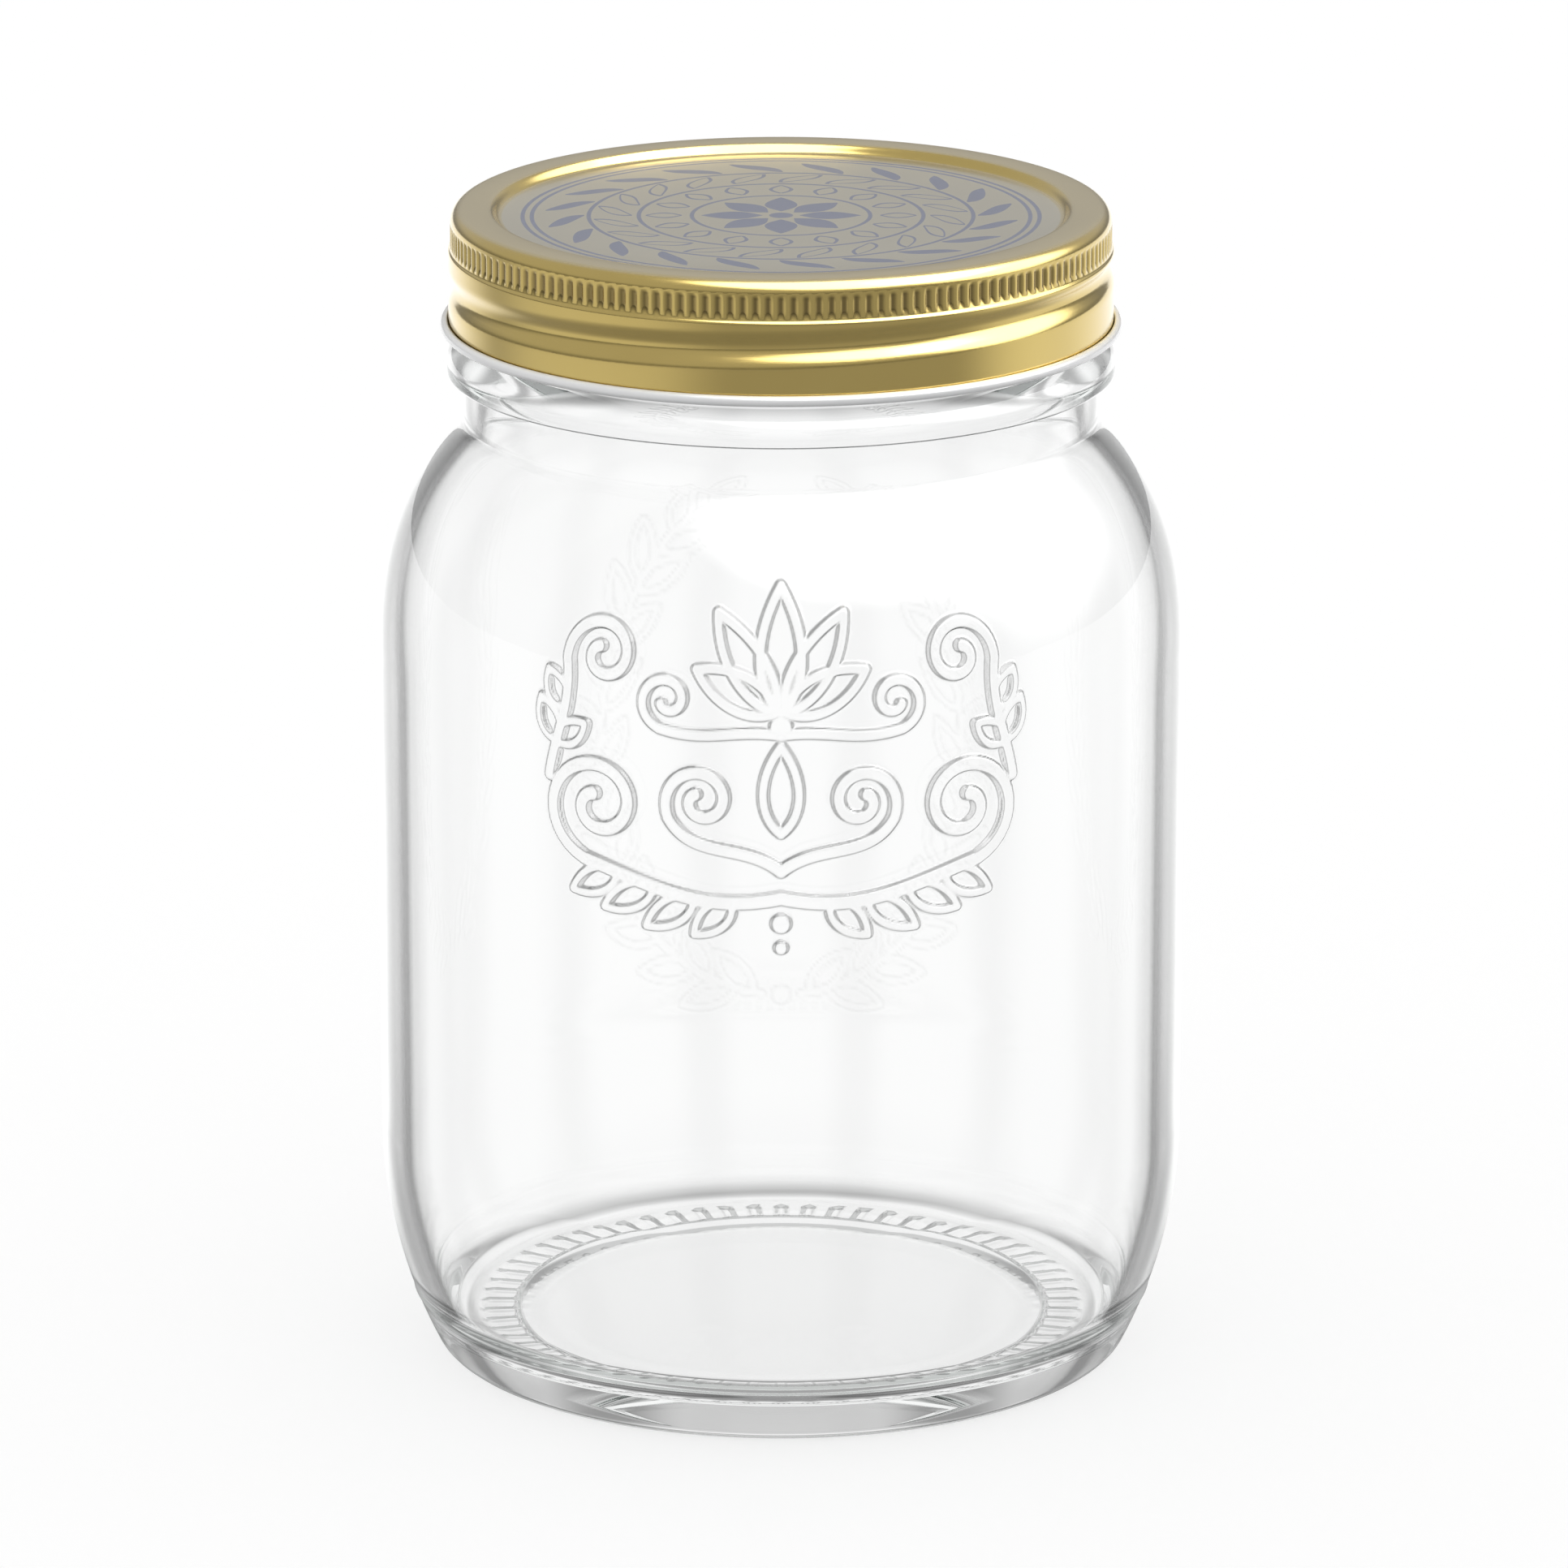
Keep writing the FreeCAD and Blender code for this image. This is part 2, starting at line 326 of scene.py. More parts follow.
# %% [markdown]
# ## The raised ornament
#
# Jars of this kind carry a raised design. Here it is a spray of scrolls and leaves on the front,
# and a lower laurel wreath on the back. Each is a set of strokes, lines with a half width,
# drawn flat in millimetres: along the girth from the middle of that side, and up from the base.

# %% Lines to draw with
def polar(centre, distance, direction):
    """The point at a distance from a centre, in a direction in degrees."""
    turn = math.radians(direction)
    return (centre[0] + distance * math.cos(turn), centre[1] + distance * math.sin(turn))


def leaf(base, direction, length, width):
    """The closed outline of a pointed leaf."""
    sides = []
    for bulge in (width * 0.66, -width * 0.66):
        low = polar(polar(base, length * 0.2, direction), bulge, direction + 90)
        high = polar(polar(base, length * 0.65, direction), bulge, direction + 90)
        sides.append(bezier([base, low, high, polar(base, length, direction)], 16))
    return sides[0] + sides[1][::-1]


def scroll(start, lean, centre, radius, end_radius, meeting, winding):
    """A stem that leaves start in the lean direction, joins a spiral smoothly and winds into it."""
    join = polar(centre, radius, meeting)
    reach = 0.4 * math.dist(start, join)
    line = bezier([start, polar(start, reach, lean), polar(join, reach, meeting - 90), join], 36)
    for step in range(1, 49):
        eased_share = (step / 48) ** 0.85
        distance = radius + (end_radius - radius) * eased_share
        line.append(polar(centre, distance, meeting + winding * step / 48))
    return line


def leaves_along(line, places, spread, width, half_width):
    """Leaves that grow from a line. A place is a share of the line, a side (1 or -1) and a length."""
    strokes = []
    for share, side_sign, length in places:
        index = int(share * (len(line) - 1))
        here, there = line[index], line[index + 1]
        heading = math.degrees(math.atan2(there[1] - here[1], there[0] - here[0]))
        strokes.append((leaf(here, heading + side_sign * spread, length, width), half_width))
    return strokes


def mirrored(strokes):
    """The strokes and their mirror images about the upright centre line."""
    return strokes + [([(-u, v) for u, v in line], half_width) for line, half_width in strokes]


def dot(centre, half_width):
    """A round dot, as a very short stroke."""
    return ([centre, (centre[0], centre[1] + 0.01)], half_width)


print("scrolls, leaves and dots are ready")

# %% The front spray
main_stem = scroll((0, 76), -12, (24.0, 87.0), 7.6, 1.5, -75, 500)
side_stem = scroll((31.0, 90.0), 100, (23.4, 106.6), 5.2, 1.2, -10, 430)
inner_stem = scroll((0, 79.5), 40, (10.2, 88.6), 4.9, 1.1, -30, 440)
top_tendril = scroll((0, 97.5), 8, (14.6, 101.6), 3.9, 1.0, -75, 400)
front = [(main_stem, 0.95), (side_stem, 0.85), (inner_stem, 0.85), (top_tendril, 0.75)]
below_stem = [(0.10, -1, 6.5), (0.19, -1, 7.5), (0.28, -1, 7.5), (0.36, -1, 7.0)]
front += leaves_along(main_stem, below_stem, 42, 3.3, 0.6)
front += leaves_along(side_stem, [(0.12, -1, 6.0), (0.26, -1, 5.5), (0.12, 1, 5.0)], 40, 2.9, 0.6)
front += [(leaf((0.6, 100.5), 58, 14.5, 4.6), 0.7), (leaf((0.6, 100.5), 27, 11.5, 4.6), 0.7)]
front = mirrored(front)
front += [(leaf((0, 100.5), 90, 15.5, 5.4), 0.75), (leaf((0, 84.5), 90, 11.5, 4.6), 0.7)]
front += [dot((0, 98.6), 1.5), dot((0, 72.6), 1.3), dot((0, 69.4), 0.9)]
print("the front spray has", len(front), "strokes")

# %% The back wreath
wreath_middle = 67.0
wreath_half_width = 27.0
wreath_half_height = 36.0
half_ring = []
for step in range(61):
    turn = math.radians(-84 + 164 * step / 60)
    across = wreath_half_width * math.cos(turn)
    half_ring.append((across, wreath_middle + wreath_half_height * math.sin(turn)))
places = []
for pair in range(12):
    places += [(0.03 + pair * 0.08, 1, 8.0), (0.06 + pair * 0.08, -1, 8.0)]
back = mirrored([(half_ring, 0.6)] + leaves_along(half_ring, places, 34, 3.2, 0.55))
back += [dot((0, wreath_middle - wreath_half_height), 1.4)]
print("the back wreath has", len(back), "strokes")

# %% [markdown]
# ## Wrapping the strokes round the glass
#
# The relief could be a bump texture, but the light bends at the flank of every real ridge, so it is geometry.
# The mesh is divided only near the strokes, and most finely on their flanks.
# A search tree of samples along the strokes tells how far each point is from the nearest one.

# %% Where a point lies on the flat drawing
shell_line = arc(heel_pivot, heel_radius, base_meeting, 0, 120)
shell_line += shoulder(body_radius, neck_radius, 0, 200)
relief_low, relief_high = 26.0, 125.0


def shell_radius(height):
    """The outside radius of the plain glass at a height."""
    for (low_radius, low), (high_radius, high) in zip(shell_line, shell_line[1:]):
        if low <= height <= high and high > low:
            return low_radius + (high_radius - low_radius) * (height - low) / (high - low)
    return body_radius


# The radius is asked for at every face, so it is worked out once for each quarter of a millimetre.
steps_per_mm = 4
shell_table = [shell_radius(step / steps_per_mm) for step in range(150 * steps_per_mm)]


def on_shell(co, facing):
    """True for a place on the outer skin, on the front (facing 1) or on the back (facing -1)."""
    height = co.z / MM
    if co.y * facing > 0 or not relief_low < height < relief_high:
        return False
    return Vector(co.xy).length / MM > shell_table[round(height * steps_per_mm)] - 0.9


def unrolled(co, facing):
    """A place's distance along the girth from the middle of its side, and its height."""
    angle = math.atan2(facing * co.x, -facing * co.y)
    return Vector((angle * body_radius, co.z / MM, 0))


print("the shell is", round(shell_radius(110), 1), "mm in radius at 110 mm")

# %% Measure the distance to the strokes
flank = 0.6


def spread(line, spacing=0.16):
    """Evenly spread samples along a line of points."""
    samples = [Vector((*line[0], 0))]
    for a, b in zip(line, line[1:]):
        count = max(1, math.ceil(math.dist(a, b) / spacing))
        samples += [Vector((*towards(a, b, step / count), 0)) for step in range(1, count + 1)]
    return samples


def stroke_tree(strokes):
    """A search tree of samples on all strokes, and the half width at each sample."""
    samples = [(sample, half_width) for line, half_width in strokes for sample in spread(line)]
    tree = KDTree(len(samples))
    for index, (sample, half_width) in enumerate(samples):
        tree.insert(sample, index)
    tree.balance()
    return tree, [half_width for sample, half_width in samples]


def beyond_edge(tree, widths, place):
    """How far a place lies outside the edge of the nearest stroke; negative on its crown."""
    nearest = 9.0
    for sample, index, distance in tree.find_range(place, 3.2):
        nearest = min(nearest, distance - widths[index])
    return nearest


print("a flank is", flank, "mm wide")

# %% [markdown]
# The first pass divides only the upright edges, because the faces of the side are twice as tall as wide.
# Two more passes halve the faces near the strokes, and a last one halves only those on the flanks.
# Then each point moves out by a smooth step across the flank. The same step is kept as a vertex attribute,
# so that the glass material can paint the flanks darker as painted shade.

# %% Divide and raise
step_layer = glass.verts.layers.float.new("flank")
front_height = 0.6
back_height = 0.16


def divide_near(tree, widths, facing, low, high, upright_only):
    """Halves the edges of the skin's faces that lie between two distances from a stroke's edge."""
    edges = set()
    for face in glass.faces:
        centre = face.calc_center_median()
        if len(face.verts) == 4 and on_shell(centre, facing):
            reach = face.calc_perimeter() / MM / 6
            if low - reach < beyond_edge(tree, widths, unrolled(centre, facing)) < high + reach:
                edges.update(face.edges)
    if upright_only:
        edges = [edge for edge in edges if abs(edge.verts[0].co.z - edge.verts[1].co.z) > 0.1 * MM]
    bmesh.ops.subdivide_edges(glass, edges=list(edges), cuts=1, use_grid_fill=True)


def raise_strokes(strokes, facing, height, passes):
    """Divides the skin near the strokes and lifts it there."""
    tree, widths = stroke_tree(strokes)
    for low, high, upright_only in passes:
        divide_near(tree, widths, facing, low, high, upright_only)
    for vert in glass.verts:
        if on_shell(vert.co, facing):
            place = unrolled(vert.co, facing)
            share = min(1, max(0, 0.5 - beyond_edge(tree, widths, place) / flank))
            eased_share = share * share * (3 - 2 * share)
            vert[step_layer] = 4 * eased_share * (1 - eased_share) * height / front_height
            set_radius(vert, shell_radius(place.y) + height * eased_share)


coarse_passes = [(-9, 1.0, True), (-9, 0.6, False), (-9, 0.3, False)]
raise_strokes(back, -1, back_height, coarse_passes)
raise_strokes(front, 1, front_height, coarse_passes + [(-0.3, 0.3, False)])
print("with its ornament the glass has", len(glass.faces), "faces")

# %% [markdown]
# The finished mesh becomes a piece of the object. It rides on the object's only body
# and replaces the plain packed glass, which stays behind for the physics.

# %% The glass piece
def new_object(name, bm):
    """A smooth-shaded mesh object made from a bmesh."""
    mesh = bpy.data.meshes.new(name)
    bm.to_mesh(mesh)
    bm.free()
    mesh.shade_smooth()
    made = bpy.data.objects.new(name, mesh)
    bpy.context.collection.objects.link(made)
    return made


jar = new_object("glass_jar", glass)
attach(jar, "root")
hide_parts("jar_glass")
jar.data.calc_loop_triangles()
print("glass_jar has", len(jar.data.loop_triangles), "triangles")

# %% [markdown]
# ## The screw cap
#
# The real cap is stamped from one sheet of tinplate: a sunk panel, a knurled band to grip,
# a groove rolled along the thread, and a rim curled outwards so that it doesn't cut.
# Its section is again one outline. It runs down the outer face of the sheet, round the curl,
# and back up inside.
# One side of it is gold lacquer, and the other, which the curl turns outwards, is light enamel.

# %% Sizes of the cap in millimetres
sheet = 0.3
cap_top = cap_high.z / MM
cap_bottom = cap_low.z / MM
lid_level = cap_top - 1.25
panel_radius = bore_radius - 2.6
deck_radius = panel_radius + 2.1
corner_radius = 1.75
band_radius = 43.05
lined_band_radius = 42.52
skirt_inner = 43.05
skirt_outer = skirt_inner + sheet
band_bottom = cap_top - corner_radius - 3.1
blend_bottom = band_bottom - 0.8
curl_radius = 0.7
curl_level = cap_bottom + curl_radius
curl_middle = skirt_inner + curl_radius


def sheet_face(lid, shift, deck, corner, band, skirt):
    """One face of the sheet, from the middle of the panel down to the start of the curl."""
    edge, rim = panel_radius + shift, deck_radius + shift
    face = bezier([(0, lid), (edge, lid)], 4)
    face += bezier([(edge, lid), (edge + 1.26, lid), (rim - 1.26, deck), (rim, deck)], 10)
    face += arc((band_radius - corner_radius, deck - corner), corner, 90, 0, 8)
    face += bezier([(band, deck - corner), (band, band_bottom)], 6)
    step_top = [(band, band_bottom), (band, band_bottom - 0.5)]
    face += bezier(step_top + [(skirt, blend_bottom + 0.5), (skirt, blend_bottom)], 6)
    return face + bezier([(skirt, blend_bottom), (skirt, curl_level)], 20)


lined_corner = lined_band_radius - band_radius + corner_radius
lined_lid = lid_level - sheet
lined_deck = cap_top - sheet
lined_shift = 0.12
curl_end = 472
lacquered = sheet_face(lid_level, 0, cap_top, corner_radius, band_radius, skirt_outer)
lacquered += arc((curl_middle, curl_level), curl_radius - sheet, 180, curl_end, 14)
enamelled = arc((curl_middle, curl_level), curl_radius, curl_end, 180, 18)
inner_face = sheet_face(
    lined_lid,
    lined_shift,
    lined_deck,
    lined_corner,
    lined_band_radius,
    skirt_inner,
)
enamelled += inner_face[::-1]
print("the sheet's outline has", len(lacquered) + len(enamelled), "points")

# %% Spin the cap
knurl_count = 168
cap_bm = spun(lacquered, enamelled, "enamel", 2 * knurl_count)
print("the spun cap has", len(cap_bm.faces), "faces")

# %% [markdown]
# The knurl is a row of upright round-bottomed slots. The band is divided to eight faces for each slot,
# and every point moves in by the depth of the slot there. How deep it lies is kept as an attribute,
# so that the lacquer can be painted darker in the slots as painted shade.

# %% Press the knurl
slot_layer = cap_bm.verts.layers.float.new("slot")
slot_depth = 0.28
cutter_radius = 0.6
band_top = cap_top - corner_radius
girth_edges = []
for edge in cap_bm.edges:
    a, b = (vert.co for vert in edge.verts)
    outside = Vector(a.xy).length > (band_radius - 0.01) * MM
    if outside and abs(a.z - b.z) < 1e-7 and (band_bottom - 0.4) * MM < a.z < (band_top + 0.7) * MM:
        girth_edges.append(edge)
bmesh.ops.subdivide_edges(cap_bm, edges=girth_edges, cuts=3, use_grid_fill=True)
pitch = 2 * math.pi / knurl_count
for vert in cap_bm.verts:
    height = vert.co.z / MM
    distance = Vector(vert.co.xy).length / MM
    if distance > band_radius - 0.1 and band_bottom - 0.1 < height < band_top + 0.1:
        turn = math.atan2(vert.co.y, vert.co.x)
        aside = distance * math.sin(turn - pitch * round(turn / pitch))
        depth = slot_depth - cutter_radius + math.sqrt(max(0, cutter_radius ** 2 - aside ** 2))
        fade = min(1, max(0, (height - band_bottom) / 0.5), max(0, (band_top - height) / 0.5))
        depth = max(0, depth) * fade
        set_radius(vert, band_radius - depth)
        vert[slot_layer] = depth / slot_depth
print(knurl_count, "slots pressed")

# %% [markdown]
# The thread is rolled into the skirt as a helical groove with soft sides. The sheet stays equally thick,
# so both of its faces move in together, and the groove grows shallower where it runs out.

# %% Roll the thread groove
rolled_low = seat_height - 11.9
rolled_depth = 0.95
rolled_half_width = 2.6
rolled_run_out = 14.0  # degrees past either end of the thread


def rolled_in(turn, height):
    """How far the sheet is pressed in at an angle in degrees and a height."""
    depth = 0
    for travel in (turn - thread_start, turn - thread_start + 360, turn - thread_start - 360):
        past_end = max(0, -travel, travel - thread_travel)
        run_out = max(0, 1 - (past_end / rolled_run_out) ** 2)
        aside = abs(height - rolled_low - thread_pitch * travel / 360) / rolled_half_width
        if aside < 1:
            depth = max(depth, rolled_depth * run_out * math.cos(aside * math.pi / 2) ** 2)
    return depth


for vert in cap_bm.verts:
    height = vert.co.z / MM
    distance = Vector(vert.co.xy).length / MM
    on_skirt = skirt_inner - 0.01 < distance < skirt_outer + 0.01
    if on_skirt and curl_level + 0.01 < height < blend_bottom + 0.01:
        turn = math.degrees(math.atan2(vert.co.y, vert.co.x)) % 360
        ease = min(1, (height - curl_level) / 0.8, (blend_bottom + 0.05 - height) / 0.8)
        set_radius(vert, distance - rolled_in(turn, height) * max(0, ease))
print("the groove is", rolled_depth, "mm deep")

# %% The cap piece
cap = new_object("screw_cap_sheet", cap_bm)
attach(cap, "root")
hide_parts("screw_cap")
cap.data.calc_loop_triangles()
print("screw_cap_sheet has", len(cap.data.loop_triangles), "triangles")

# %% [markdown]
# ## Materials
#
# All finishes are procedural. A few helpers keep the node code short: one makes an empty material,
# one adds a node and links or sets its inputs, and the others stand for the nodes that are used most.

# %% Helpers for shader nodes
def new_material(name):
    """A material with an empty node tree. Gives the material and its tree."""
    material = bpy.data.materials.new(name)
    material.use_nodes = True
    material.node_tree.nodes.clear()
    return material, material.node_tree


def add(tree, kind, settings=None, **inputs):
    """A node with some settings and inputs. i0 is the first input; a socket given as a value is linked."""
    made = tree.nodes.new("ShaderNode" + kind)
    for key, value in (settings or {}).items():
        setattr(made, key, value)
    for key, value in inputs.items():
        numbered = key[0] == "i" and key[1:].isdigit()
        place = made.inputs[int(key[1:])] if numbered else made.inputs[key.replace("_", " ")]
        if isinstance(value, bpy.types.NodeSocket):
            tree.links.new(value, place)
        else:
            place.default_value = value
    return made


def calc(tree, operation, *values):
    """The result of a math node."""
    inputs = {f"i{index}": value for index, value in enumerate(values)}
    return add(tree, "Math", {"operation": operation}, **inputs).outputs[0]


def eased(tree, value, low, high, at_low=0.0, at_high=1.0):
    """A value that goes smoothly from one level to another between two limits."""
    limits = {"From_Min": low, "From_Max": high, "To_Min": at_low, "To_Max": at_high}
    return add(tree, "MapRange", {"interpolation_type": "SMOOTHSTEP"}, Value=value, **limits).outputs[0]


def blended(tree, share, value_a, value_b):
    """A value that is a at share 0 and b at share 1."""
    return add(tree, "MapRange", Value=share, To_Min=value_a, To_Max=value_b).outputs[0]


def tinted(tree, share, color_a, color_b):
    """A colour that is a at share 0 and b at share 1. A colour is three numbers or a socket."""
    made = add(tree, "Mix", {"data_type": "RGBA"}, i0=share)
    for color, place in ((color_a, made.inputs[6]), (color_b, made.inputs[7])):
        if isinstance(color, bpy.types.NodeSocket):
            tree.links.new(color, place)
        else:
            place.default_value = (*color, 1)
    return made.outputs[2]


def ramp(tree, value, stops):
    """A grey level that changes along a list of (value, level) stops."""
    made = add(tree, "ValToRGB", Fac=value)
    elements = made.color_ramp.elements
    for position, level in stops[2:]:
        elements.new(position)
    for element, (position, level) in zip(elements, stops):
        element.position = position
        element.color = (level, level, level, 1)
    return made.outputs["Color"]


def noise(tree, place, stretch, detail=2.0):
    """A noise pattern with so many waves per metre along each axis."""
    scaled = add(tree, "VectorMath", {"operation": "MULTIPLY"}, i0=place, i1=stretch).outputs[0]
    return add(tree, "TexNoise", Vector=scaled, Scale=1.0, Detail=detail).outputs["Fac"]


print("node helpers are ready")

# %% [markdown]
# ## Clear glass
#
# Real glass takes its look from what it refracts, so it is a plain transmitting surface of index 1.5
# with a faint waviness from the mould. Its tint is painted darker at a glancing angle and on the flank of a
# relief:
# this painted shade draws the thin grey lines round the ornament and the darker sides of the jar.
# Shadow rays pass straight through, so that the jar casts the light shadow of clear glass.
# So do rays that have bounced about inside the wall three times: the renderer drops them soon after,
# and without this way out they would leave black specks in the bead and the base.

# %% The glass material
clear, tree = new_material("clear_glass")
place = add(tree, "TexCoord").outputs["Object"]
ripples = noise(tree, place, (45, 45, 45))
wave = add(tree, "Bump", Height=ripples, Strength=0.05, Distance=0.0004).outputs["Normal"]
facing = add(tree, "LayerWeight", Blend=0.5, Normal=wave).outputs["Facing"]
inner_share = add(tree, "Attribute", {"attribute_name": "inner"}).outputs["Fac"]
flank_shade = add(tree, "Attribute", {"attribute_name": "flank"}).outputs["Fac"]
# Painted shade: the glass's tint is darkened at glancing angles, on its inner face and on the relief's
# flanks.
edge_band = [(0.58, 1.0), (0.625, 0.75), (0.655, 0.2), (0.70, 0.2), (0.75, 0.6), (0.84, 0.9)]
rim_line = [(0.93, 1.0), (0.975, 0.4)]
outer_edge_shade = ramp(tree, facing, edge_band + rim_line)
inner_edge_shade = eased(tree, facing, 0.8, 1.0, 1.0, 0.45)
painted_edge_shade = blended(tree, inner_share, outer_edge_shade, inner_edge_shade)
painted_edge_shade = calc(tree, "MULTIPLY", painted_edge_shade, blended(tree, flank_shade, 1.0, 0.5))
tone = tinted(tree, painted_edge_shade, (0.0, 0.0, 0.0), (0.998, 1.0, 0.999))
solid_glass = add(
    tree,
    "BsdfPrincipled",
    Base_Color=tone,
    Roughness=0.0,
    IOR=1.5,
    Transmission_Weight=1.0,
    Normal=wave,
)
see_through = add(tree, "BsdfTransparent", Color=(0.97, 0.98, 0.975, 1))
light_path = add(tree, "LightPath").outputs
often_bounced = calc(tree, "GREATER_THAN", light_path["Glossy Depth"], 2.5)
unbent = calc(tree, "MAXIMUM", light_path["Is Shadow Ray"], often_bounced)
glass_mix = add(tree, "MixShader", i0=unbent, i1=solid_glass.outputs[0], i2=see_through.outputs[0])
add(tree, "OutputMaterial", Surface=glass_mix.outputs[0])
jar.data.materials.append(clear)
print("the glass has", len(tree.nodes), "nodes")

# %% [markdown]
# ## The lid's print
#
# The sunk panel of such a lid carries a light blue-grey print. This one is a generic folk rosette.
# It is drawn by formulas in polar coordinates: petals are sine arches repeated round the middle,
# and a thin line is what lies near such an arch or near a circle.

# %% Print patterns
def near_zero(tree, value, half_line, blur=0.12):
    """1 where a distance in millimetres is within half a line's width of zero."""
    return eased(tree, calc(tree, "ABSOLUTE", value), half_line, half_line + blur, 1.0, 0.0)


def below_zero(tree, value, blur=0.12):
    """1 where a distance in millimetres is negative."""
    return eased(tree, value, 0.0, blur, 1.0, 0.0)


def petals(tree, turn, distance, count, inner, outer, half_width, skew=0.0):
    """The distance to the outline of petals that repeat round the middle; negative inside them."""
    along = calc(tree, "DIVIDE", calc(tree, "SUBTRACT", distance, inner), outer - inner)
    leaned = calc(tree, "ADD", turn, calc(tree, "MULTIPLY", along, skew))
    aside = calc(tree, "MULTIPLY", calc(tree, "PINGPONG", leaned, math.pi / count), distance)
    within = calc(tree, "MINIMUM", calc(tree, "MAXIMUM", along, 0.0), 1.0)
    arch = calc(tree, "MULTIPLY", calc(tree, "SINE", calc(tree, "MULTIPLY", within, math.pi)), half_width)
    outside = calc(tree, "MULTIPLY", calc(tree, "ABSOLUTE", calc(tree, "SUBTRACT", along, within)), 99.0)
    return calc(tree, "ADD", calc(tree, "SUBTRACT", aside, arch), outside)


def strongest(tree, *masks):
    """The strongest of several masks."""
    result = masks[0]
    for mask in masks[1:]:
        result = calc(tree, "MAXIMUM", result, mask)
    return result


def rosette(tree, turn, distance):
    """The ink of the whole print, from 0 to 1."""
    heart = calc(tree, "SUBTRACT", distance, 1.5)
    flower = petals(tree, turn, distance, 8, 2.4, 10.4, 2.1)
    crown = petals(tree, turn, distance, 16, 12.9, 17.6, 1.35)
    left_leaf = petals(tree, turn, distance, 20, 19.4, 24.4, 1.6, 0.22)
    right_leaf = petals(tree, turn, distance, 20, 25.6, 30.8, 1.6, -0.22)
    lines = [near_zero(tree, shape, 0.2) for shape in (crown, left_leaf, right_leaf)]
    rings = []
    for size in (11.6, 18.5, 25.0, 32.4, 33.6):
        rings.append(near_zero(tree, calc(tree, "SUBTRACT", distance, size), 0.22))
    solids = [below_zero(tree, shape) for shape in (heart, flower, right_leaf)]
    return strongest(tree, *lines, *rings, *solids)


print("the print lies at", round(lid_level, 2), "mm")

# %% [markdown]
# ## Gold lacquer
#
# The cap is one piece of tinplate, so one material covers it and tells its zones apart by place:
# the outside is gold lacquer, the sunk panel has a paler satin print varnish, and the inside is light enamel,
# which the curled rim turns outwards. Rolling leaves a fine straight grain in the sheet.

# %% Zones of the cap
gold, tree = new_material("gold_lacquer")
coordinates = add(tree, "TexCoord")
place = coordinates.outputs["Object"]
spot = add(tree, "SeparateXYZ", Vector=place).outputs
way = add(tree, "SeparateXYZ", Vector=coordinates.outputs["Normal"]).outputs
flat_place = add(tree, "CombineXYZ", X=spot["X"], Y=spot["Y"]).outputs[0]
away = add(tree, "VectorMath", {"operation": "LENGTH"}, i0=flat_place).outputs["Value"]
distance = calc(tree, "DIVIDE", away, MM)
height = calc(tree, "DIVIDE", spot["Z"], MM)
turn = calc(tree, "ARCTAN2", spot["Y"], spot["X"])
enamel_share = add(tree, "Attribute", {"attribute_name": "enamel"}).outputs["Fac"]
slot_shade = add(tree, "Attribute", {"attribute_name": "slot"}).outputs["Fac"]
looks_up = eased(tree, way["Z"], 0.8, 0.97)
lid_share = calc(tree, "MULTIPLY", looks_up, eased(tree, height, lid_level - 0.1, lid_level))
near_middle = eased(tree, distance, panel_radius, panel_radius + 0.3, 1.0, 0.0)
panel_share = calc(tree, "MULTIPLY", near_middle, lid_share)
print("the cap's zones are found by", len(tree.nodes), "nodes")

# %% Colours and gloss of the cap
cloud = noise(tree, place, (60, 60, 60), 4.0)
grain = noise(tree, place, (250, 4000, 4000), 3.0)
lacquer_color = tinted(tree, cloud, (0.60, 0.45, 0.14), (0.68, 0.52, 0.175))
# Painted shade: the lacquer turns dark brown towards the bottom of the knurl's slots.
lacquer_color = tinted(tree, calc(tree, "MULTIPLY", slot_shade, 0.75), lacquer_color, (0.10, 0.065, 0.02))
varnish_color = tinted(tree, cloud, (0.60, 0.56, 0.45), (0.66, 0.62, 0.50))
ink = calc(tree, "MULTIPLY", rosette(tree, turn, distance), panel_share)
printed_color = tinted(tree, calc(tree, "MULTIPLY", ink, 0.85), varnish_color, (0.09, 0.12, 0.26))
enamel_color = tinted(tree, cloud, (0.89, 0.90, 0.91), (0.94, 0.94, 0.94))
color = tinted(tree, calc(tree, "MULTIPLY", lid_share, 0.45), lacquer_color, varnish_color)
color = tinted(tree, panel_share, color, printed_color)
color = tinted(tree, enamel_share, color, enamel_color)
metal = calc(tree, "MULTIPLY", blended(tree, enamel_share, 1.0, 0.1), blended(tree, ink, 1.0, 0.5))
gloss = blended(tree, lid_share, blended(tree, grain, 0.15, 0.21), blended(tree, grain, 0.28, 0.34))
gloss = blended(tree, enamel_share, gloss, 0.32)
bump = add(tree, "Bump", Height=grain, Strength=0.12, Distance=0.00004).outputs["Normal"]
lacquer = add(
    tree,
    "BsdfPrincipled",
    Base_Color=color,
    Metallic=metal,
    Roughness=gloss,
    Coat_Weight=0.5,
    Coat_Roughness=0.1,
    Normal=bump,
)
add(tree, "OutputMaterial", Surface=lacquer.outputs[0])
cap.data.materials.append(gold)
print("the gold lacquer has", len(tree.nodes), "nodes")

# %% [markdown]
# ## A soft white studio
#
# A studio lights clear glass with a white surround and soft grey cards beside the view,
# because the curved sides of the glass bend the view outwards and show them as dark edges.
# The cards stand between each two of eight directions here, so that the jar reads well from all sides.
# The floor is not in the way of rays that come through glass, so the base stays as bright as the rest.
# Metal needs something else: in its mirror the sky is dim with two softboxes high up,
# and the floor is dark in front with a soft card at either side, which brings out the curves of the cap.

